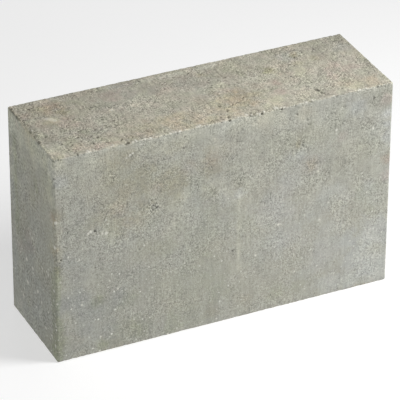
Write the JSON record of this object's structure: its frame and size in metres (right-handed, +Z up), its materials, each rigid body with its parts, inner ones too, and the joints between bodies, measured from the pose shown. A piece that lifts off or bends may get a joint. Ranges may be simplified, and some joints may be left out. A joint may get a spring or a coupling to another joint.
{
  "type": "concrete block",
  "caption": "Solid rectangular block of dense concrete for walls and footings, with softly rounded upright arrises and a rough tamped top face.",
  "frame": {"origin": "centre of the bed face, the underside that the block stands on", "axes": "+X along the block's length, +Y through its thickness, +Z up its height as it is laid"},
  "size_m": [0.38, 0.12, 0.24],
  "materials": {
    "concrete": "matte"
  },
  "bodies": {
    "root": {"block": "concrete"}
  },
  "joints": []
}
